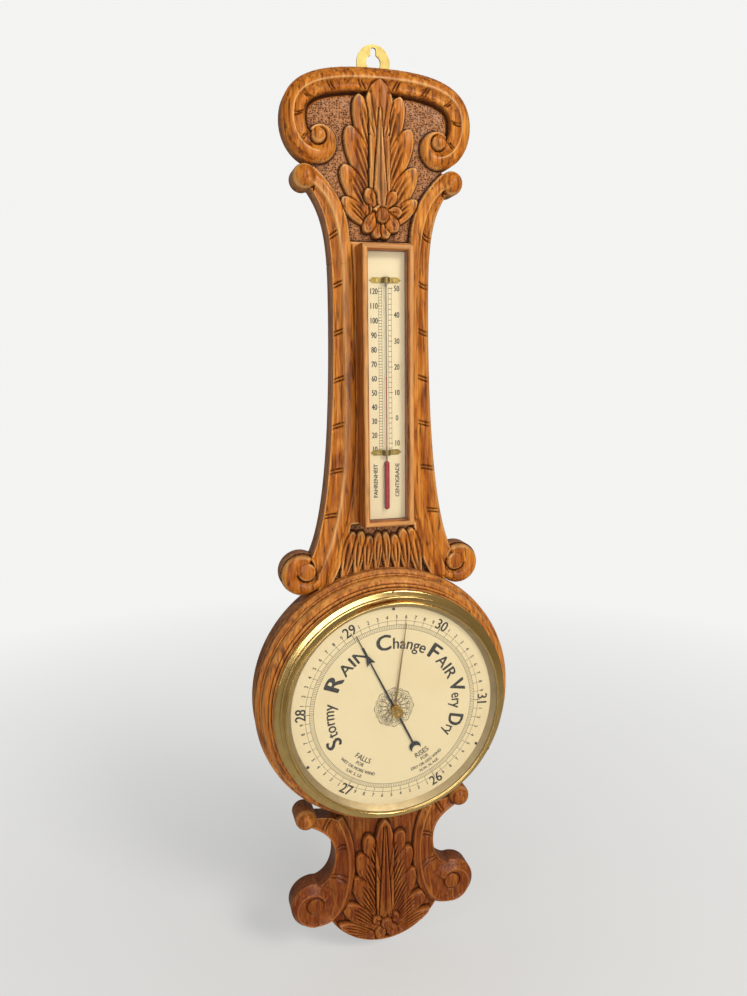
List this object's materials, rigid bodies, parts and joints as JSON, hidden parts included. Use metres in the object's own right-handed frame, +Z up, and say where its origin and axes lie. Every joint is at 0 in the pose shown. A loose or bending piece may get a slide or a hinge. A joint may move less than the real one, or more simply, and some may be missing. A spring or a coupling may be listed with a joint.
{
  "type": "banjo barometer",
  "caption": "Wall-hung aneroid banjo barometer in a carved oak case, with a glazed round dial, a set hand and a spirit thermometer in a box on the neck.",
  "frame": {"origin": "centre of the hanging hole, on the wall plane", "axes": "+X to the right as seen from the front, +Y into the wall, +Z up"},
  "size_m": [0.2552, 0.0698, 0.8659],
  "materials": {
    "oak": "polished golden oak",
    "box_oak": "polished darker oak",
    "cover_wood": "plain stained wood",
    "clear_glass": "clear, polished",
    "spirit": "red spirit",
    "scale": "cream, printed",
    "dial": "cream, printed",
    "sight": "satin gilt",
    "polished_brass": "polished, lacquered",
    "movement_brass": "grained",
    "nickel": "nickel silver",
    "steel": "bright steel",
    "blued_steel": "blued",
    "iron": "black"
  },
  "bodies": {
    "case": {"case_board": "oak", "dial_surround": "oak", "thermometer_left_stile": "box_oak", "thermometer_right_stile": "box_oak", "thermometer_top_rail": "box_oak", "thermometer_bottom_rail": "box_oak", "thermometer_glass": "clear_glass", "scale_backing": "cover_wood", "thermometer_scale": "scale", "thermometer_tube": "clear_glass", "spirit_column": "spirit", "upper_tube_clip": "polished_brass", "lower_tube_clip": "polished_brass", "clip_pins": "polished_brass", "hanging_plate": "polished_brass", "hanging_plate_screws": "polished_brass", "back_cover": "cover_wood", "back_cover_screws": "steel", "bezel": "polished_brass", "bezel_screws": "polished_brass", "sight_ring": "sight", "dial_glass": "clear_glass", "dial_plate": "dial", "dial_screws": "steel", "set_hand_bush": "polished_brass", "bush_nut": "polished_brass", "movement_plate": "movement_brass", "movement_pillars": "movement_brass", "pillar_screws": "steel", "capsule_base": "nickel", "capsule_nut": "movement_brass", "capsule_diaphragm": "nickel", "spring_bridge": "iron", "bridge_screws": "steel", "main_spring": "blued_steel", "rocker_bracket": "movement_brass", "bracket_screws": "steel", "pivot_screws": "steel", "pull_chain": "steel", "arbor_posts": "movement_brass", "arbor_cock": "movement_brass", "arbor_bridge": "movement_brass", "hairspring": "blued_steel", "hairspring_stud": "movement_brass"},
    "indicator": {"indicator_hand": "blued_steel", "hand_collet": "polished_brass", "hand_arbor": "steel"},
    "set_pointer": {"set_hand": "polished_brass", "set_hand_knob": "polished_brass"},
    "rocker": {"rocker_shaft": "steel"},
    "lever": {"main_lever": "movement_brass", "lever_screws": "steel", "link_rod": "steel", "capsule_post": "movement_brass", "post_pin": "steel"},
    "adjuster": {"adjusting_screw": "steel"}
  },
  "joints": [
    {"name": "hand_turn", "type": "hinge", "parent": "case", "child": "indicator", "pos_m": [0, 0, -0.578], "axis": [0, 1, 0], "range_deg": [-180, 120], "stiffness_Nm_per_rad": 0.002, "deforming": ["hairspring", "pull_chain"]},
    {"name": "set_hand_turn", "type": "hinge", "parent": "case", "child": "set_pointer", "pos_m": [0, 0, -0.578], "axis": [0, 1, 0], "continuous": true},
    {"name": "rocker_turn", "type": "hinge", "parent": "case", "child": "rocker", "pos_m": [0, -0.022, -0.631], "axis": [-1, 0, 0], "range_deg": [-10, 6.7]},
    {"name": "lever_lift", "type": "hinge", "parent": "case", "child": "lever", "pos_m": [0, -0.0329, -0.5455], "axis": [1, 0, 0], "range_deg": [-0.65, 0.45], "deforming": ["main_spring", "capsule_diaphragm"]},
    {"name": "adjuster_turn", "type": "hinge", "parent": "case", "child": "adjuster", "pos_m": [0, -0.012, -0.543], "axis": [0, 1, 0], "range_deg": [-180, 180]}
  ],
  "couplings": [
    {"joint": "rocker_turn", "follows": "hand_turn", "ratio": 0.0549},
    {"joint": "lever_lift", "follows": "hand_turn", "ratio": 0.0034099}
  ]
}
